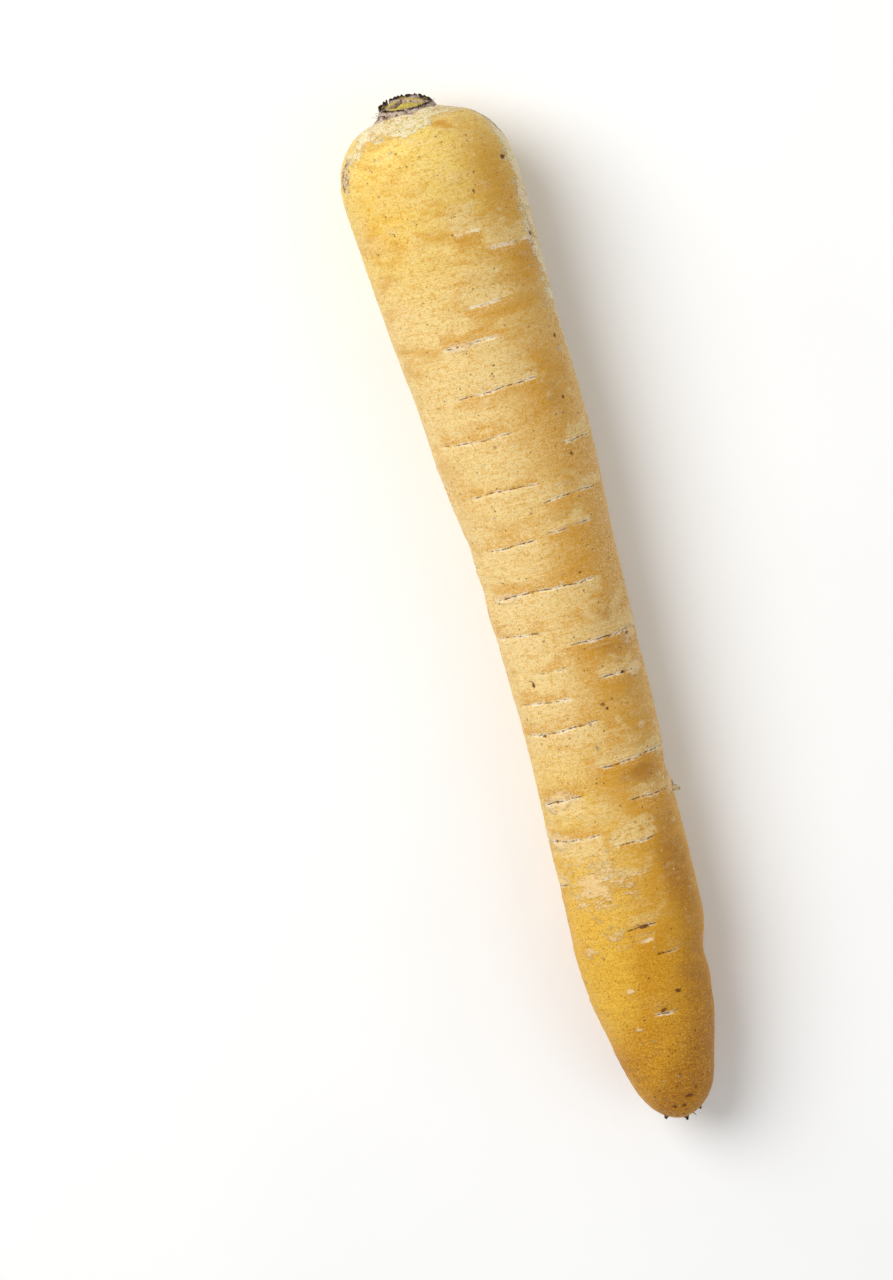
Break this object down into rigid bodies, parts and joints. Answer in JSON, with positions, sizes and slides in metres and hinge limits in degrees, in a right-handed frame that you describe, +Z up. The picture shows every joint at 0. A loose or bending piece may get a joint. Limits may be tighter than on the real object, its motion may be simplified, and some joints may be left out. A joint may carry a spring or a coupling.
{
  "type": "carrot",
  "caption": "Whole yellow carrot lying on its side: a tapering, slightly bowed taproot with a blunt end, rootlets and a ring of cut leaf stalks on its crown.",
  "frame": {"origin": "on the surface the carrot lies on, under the middle of its box", "axes": "+Y along the root towards its crown, +X towards the side the root bows to, +Z up"},
  "size_m": [0.0356, 0.2132, 0.034],
  "materials": {
    "skin": "satin",
    "dry_stalk": "matte",
    "green_stalk": "matte",
    "dry_rootlet": "matte"
  },
  "bodies": {
    "root": {"taproot": "skin", "outer_leaf_stalk_1": "dry_stalk", "outer_leaf_stalk_2": "dry_stalk", "outer_leaf_stalk_3": "dry_stalk", "outer_leaf_stalk_4": "dry_stalk", "outer_leaf_stalk_5": "dry_stalk", "inner_leaf_stalk_1": "green_stalk", "inner_leaf_stalk_2": "green_stalk", "inner_leaf_stalk_3": "green_stalk", "inner_leaf_stalk_4": "green_stalk", "heart_bud": "green_stalk", "side_rootlet": "dry_rootlet", "tip_rootlet_1": "dry_rootlet", "tip_rootlet_2": "dry_rootlet", "tip_rootlet_3": "dry_rootlet"}
  },
  "joints": []
}
